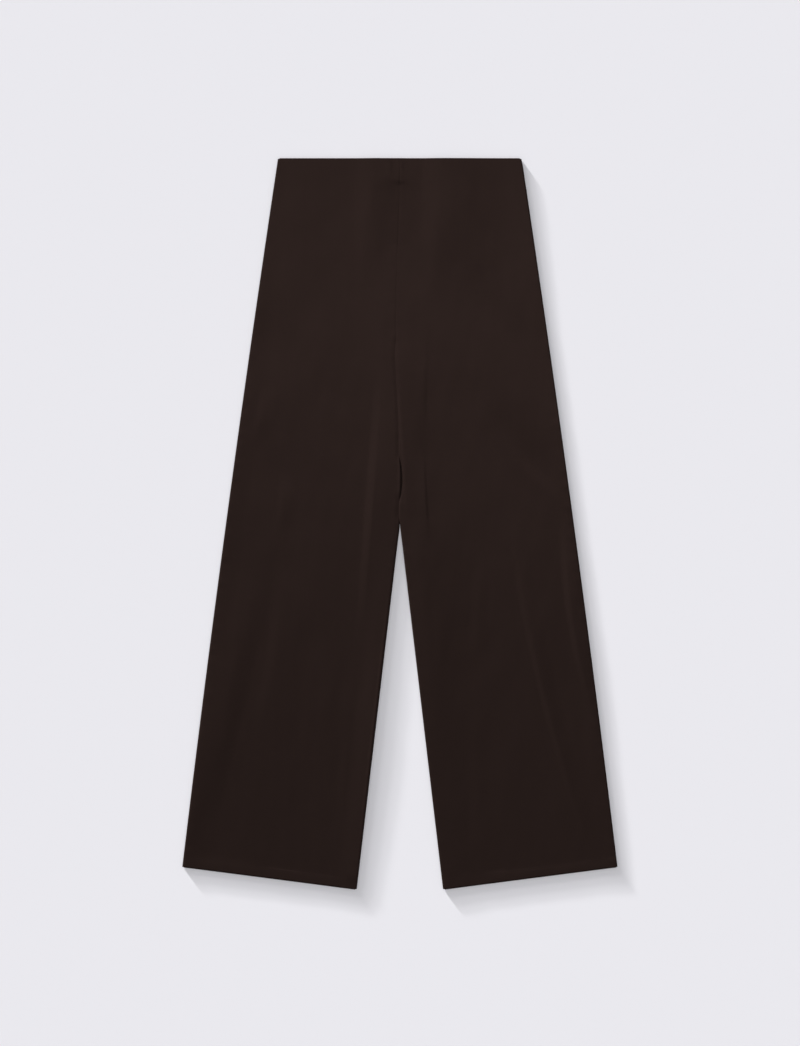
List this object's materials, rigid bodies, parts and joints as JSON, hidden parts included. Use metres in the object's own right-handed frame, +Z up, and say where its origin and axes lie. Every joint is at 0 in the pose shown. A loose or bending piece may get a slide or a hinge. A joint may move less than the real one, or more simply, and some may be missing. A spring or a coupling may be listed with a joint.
{
  "type": "palazzo pants",
  "caption": "Wide straight-leg pull-on trousers in dark brown jersey, laid flat front up, with a turned-in waist casing and turned-up hems.",
  "frame": {"origin": "centre of the laid outline, on the surface that the trousers lie on", "axes": "+Z up, away from the surface; +Y along the length, from the hems to the waist; +X across, towards the wearer's left leg, which is on the right when the front is seen from above"},
  "size_m": [0.6574, 1.1055, 0.0068],
  "materials": {
    "jersey": "very dark brown fine jersey, smooth, with a faint soft sheen"
  },
  "bodies": {
    "root": {"front_right_leg": "jersey", "front_left_leg": "jersey", "back_right_leg": "jersey", "back_left_leg": "jersey"}
  },
  "joints": []
}
